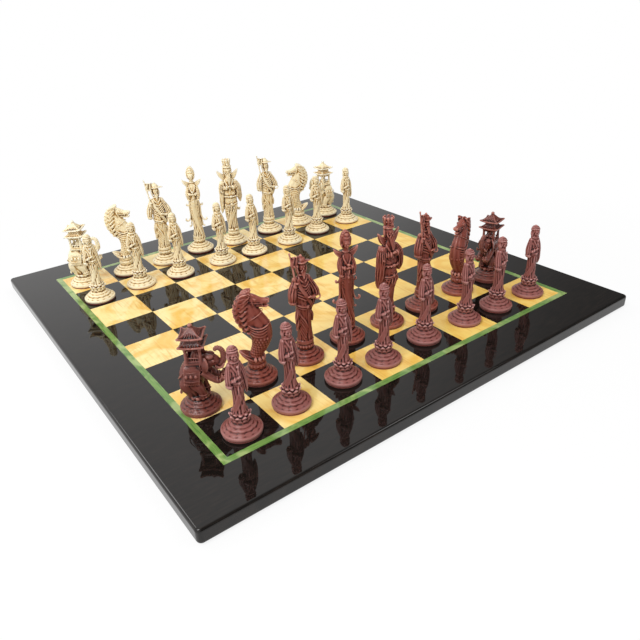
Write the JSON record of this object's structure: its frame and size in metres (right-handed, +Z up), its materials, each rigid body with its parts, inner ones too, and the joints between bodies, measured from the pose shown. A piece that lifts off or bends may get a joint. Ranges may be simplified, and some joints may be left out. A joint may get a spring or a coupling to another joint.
{
  "type": "chess set",
  "caption": "Glossy inlaid chessboard with a black border and green stringing, set with carved court figures in ivory and red-brown resin on felt pads.",
  "frame": {"origin": "middle of the board's underside, on the surface that the board rests on", "axes": "+X along the files from a to h, +Y from the red army towards the ivory army, +Z up"},
  "size_m": [0.498, 0.498, 0.1242],
  "materials": {
    "black_lacquer": "mirror-gloss clear lacquer over black-stained veneer",
    "maple_veneer": "high gloss over figured pale maple veneer",
    "green_inlay": "high gloss over green-dyed veneer",
    "core_board": "plain fibreboard, hidden",
    "baize": "dark felt",
    "ivory_resin": "satin cast resin with a brown wash in the hollows",
    "red_resin": "satin cast resin, paler where it is worn"
  },
  "bodies": {
    "board": {"baize_underlay": "baize", "core_panel": "core_board", "near_rail": "black_lacquer", "right_rail": "black_lacquer", "far_rail": "black_lacquer", "left_rail": "black_lacquer", "near_strip": "green_inlay", "right_strip": "green_inlay", "far_strip": "green_inlay", "left_strip": "green_inlay", "light_squares": "maple_veneer", "dark_squares": "black_lacquer"},
    "red_pawn_a": {"red_pawn_a": "red_resin"},
    "red_rook_a": {"red_rook_a": "red_resin"},
    "red_pawn_b": {"red_pawn_b": "red_resin"},
    "red_knight_b": {"red_knight_b": "red_resin"},
    "red_pawn_c": {"red_pawn_c": "red_resin"},
    "red_bishop_c": {"red_bishop_c": "red_resin"},
    "red_pawn_d": {"red_pawn_d": "red_resin"},
    "red_queen_d": {"red_queen_d": "red_resin"},
    "red_pawn_e": {"red_pawn_e": "red_resin"},
    "red_king_e": {"red_king_e": "red_resin"},
    "red_pawn_f": {"red_pawn_f": "red_resin"},
    "red_bishop_f": {"red_bishop_f": "red_resin"},
    "red_pawn_g": {"red_pawn_g": "red_resin"},
    "red_knight_g": {"red_knight_g": "red_resin"},
    "red_pawn_h": {"red_pawn_h": "red_resin"},
    "red_rook_h": {"red_rook_h": "red_resin"},
    "ivory_pawn_a": {"ivory_pawn_a": "ivory_resin"},
    "ivory_rook_a": {"ivory_rook_a": "ivory_resin"},
    "ivory_pawn_b": {"ivory_pawn_b": "ivory_resin"},
    "ivory_knight_b": {"ivory_knight_b": "ivory_resin"},
    "ivory_pawn_c": {"ivory_pawn_c": "ivory_resin"},
    "ivory_bishop_c": {"ivory_bishop_c": "ivory_resin"},
    "ivory_pawn_d": {"ivory_pawn_d": "ivory_resin"},
    "ivory_queen_d": {"ivory_queen_d": "ivory_resin"},
    "ivory_pawn_e": {"ivory_pawn_e": "ivory_resin"},
    "ivory_king_e": {"ivory_king_e": "ivory_resin"},
    "ivory_pawn_f": {"ivory_pawn_f": "ivory_resin"},
    "ivory_bishop_f": {"ivory_bishop_f": "ivory_resin"},
    "ivory_pawn_g": {"ivory_pawn_g": "ivory_resin"},
    "ivory_knight_g": {"ivory_knight_g": "ivory_resin"},
    "ivory_pawn_h": {"ivory_pawn_h": "ivory_resin"},
    "ivory_rook_h": {"ivory_rook_h": "ivory_resin"}
  },
  "joints": [
    {"name": "red_pawn_a_lift", "type": "slide", "parent": "board", "child": "red_pawn_a", "axis": [0, 0, 1], "range_m": [0, 0.12]},
    {"name": "red_rook_a_lift", "type": "slide", "parent": "board", "child": "red_rook_a", "axis": [0, 0, 1], "range_m": [0, 0.12]},
    {"name": "red_pawn_b_lift", "type": "slide", "parent": "board", "child": "red_pawn_b", "axis": [0, 0, 1], "range_m": [0, 0.12]},
    {"name": "red_knight_b_lift", "type": "slide", "parent": "board", "child": "red_knight_b", "axis": [0, 0, 1], "range_m": [0, 0.12]},
    {"name": "red_pawn_c_lift", "type": "slide", "parent": "board", "child": "red_pawn_c", "axis": [0, 0, 1], "range_m": [0, 0.12]},
    {"name": "red_bishop_c_lift", "type": "slide", "parent": "board", "child": "red_bishop_c", "axis": [0, 0, 1], "range_m": [0, 0.12]},
    {"name": "red_pawn_d_lift", "type": "slide", "parent": "board", "child": "red_pawn_d", "axis": [0, 0, 1], "range_m": [0, 0.12]},
    {"name": "red_queen_d_lift", "type": "slide", "parent": "board", "child": "red_queen_d", "axis": [0, 0, 1], "range_m": [0, 0.12]},
    {"name": "red_pawn_e_lift", "type": "slide", "parent": "board", "child": "red_pawn_e", "axis": [0, 0, 1], "range_m": [0, 0.12]},
    {"name": "red_king_e_lift", "type": "slide", "parent": "board", "child": "red_king_e", "axis": [0, 0, 1], "range_m": [0, 0.12]},
    {"name": "red_pawn_f_lift", "type": "slide", "parent": "board", "child": "red_pawn_f", "axis": [0, 0, 1], "range_m": [0, 0.12]},
    {"name": "red_bishop_f_lift", "type": "slide", "parent": "board", "child": "red_bishop_f", "axis": [0, 0, 1], "range_m": [0, 0.12]},
    {"name": "red_pawn_g_lift", "type": "slide", "parent": "board", "child": "red_pawn_g", "axis": [0, 0, 1], "range_m": [0, 0.12]},
    {"name": "red_knight_g_lift", "type": "slide", "parent": "board", "child": "red_knight_g", "axis": [0, 0, 1], "range_m": [0, 0.12]},
    {"name": "red_pawn_h_lift", "type": "slide", "parent": "board", "child": "red_pawn_h", "axis": [0, 0, 1], "range_m": [0, 0.12]},
    {"name": "red_rook_h_lift", "type": "slide", "parent": "board", "child": "red_rook_h", "axis": [0, 0, 1], "range_m": [0, 0.12]},
    {"name": "ivory_pawn_a_lift", "type": "slide", "parent": "board", "child": "ivory_pawn_a", "axis": [0, 0, 1], "range_m": [0, 0.12]},
    {"name": "ivory_rook_a_lift", "type": "slide", "parent": "board", "child": "ivory_rook_a", "axis": [0, 0, 1], "range_m": [0, 0.12]},
    {"name": "ivory_pawn_b_lift", "type": "slide", "parent": "board", "child": "ivory_pawn_b", "axis": [0, 0, 1], "range_m": [0, 0.12]},
    {"name": "ivory_knight_b_lift", "type": "slide", "parent": "board", "child": "ivory_knight_b", "axis": [0, 0, 1], "range_m": [0, 0.12]},
    {"name": "ivory_pawn_c_lift", "type": "slide", "parent": "board", "child": "ivory_pawn_c", "axis": [0, 0, 1], "range_m": [0, 0.12]},
    {"name": "ivory_bishop_c_lift", "type": "slide", "parent": "board", "child": "ivory_bishop_c", "axis": [0, 0, 1], "range_m": [0, 0.12]},
    {"name": "ivory_pawn_d_lift", "type": "slide", "parent": "board", "child": "ivory_pawn_d", "axis": [0, 0, 1], "range_m": [0, 0.12]},
    {"name": "ivory_queen_d_lift", "type": "slide", "parent": "board", "child": "ivory_queen_d", "axis": [0, 0, 1], "range_m": [0, 0.12]},
    {"name": "ivory_pawn_e_lift", "type": "slide", "parent": "board", "child": "ivory_pawn_e", "axis": [0, 0, 1], "range_m": [0, 0.12]},
    {"name": "ivory_king_e_lift", "type": "slide", "parent": "board", "child": "ivory_king_e", "axis": [0, 0, 1], "range_m": [0, 0.12]},
    {"name": "ivory_pawn_f_lift", "type": "slide", "parent": "board", "child": "ivory_pawn_f", "axis": [0, 0, 1], "range_m": [0, 0.12]},
    {"name": "ivory_bishop_f_lift", "type": "slide", "parent": "board", "child": "ivory_bishop_f", "axis": [0, 0, 1], "range_m": [0, 0.12]},
    {"name": "ivory_pawn_g_lift", "type": "slide", "parent": "board", "child": "ivory_pawn_g", "axis": [0, 0, 1], "range_m": [0, 0.12]},
    {"name": "ivory_knight_g_lift", "type": "slide", "parent": "board", "child": "ivory_knight_g", "axis": [0, 0, 1], "range_m": [0, 0.12]},
    {"name": "ivory_pawn_h_lift", "type": "slide", "parent": "board", "child": "ivory_pawn_h", "axis": [0, 0, 1], "range_m": [0, 0.12]},
    {"name": "ivory_rook_h_lift", "type": "slide", "parent": "board", "child": "ivory_rook_h", "axis": [0, 0, 1], "range_m": [0, 0.12]}
  ]
}
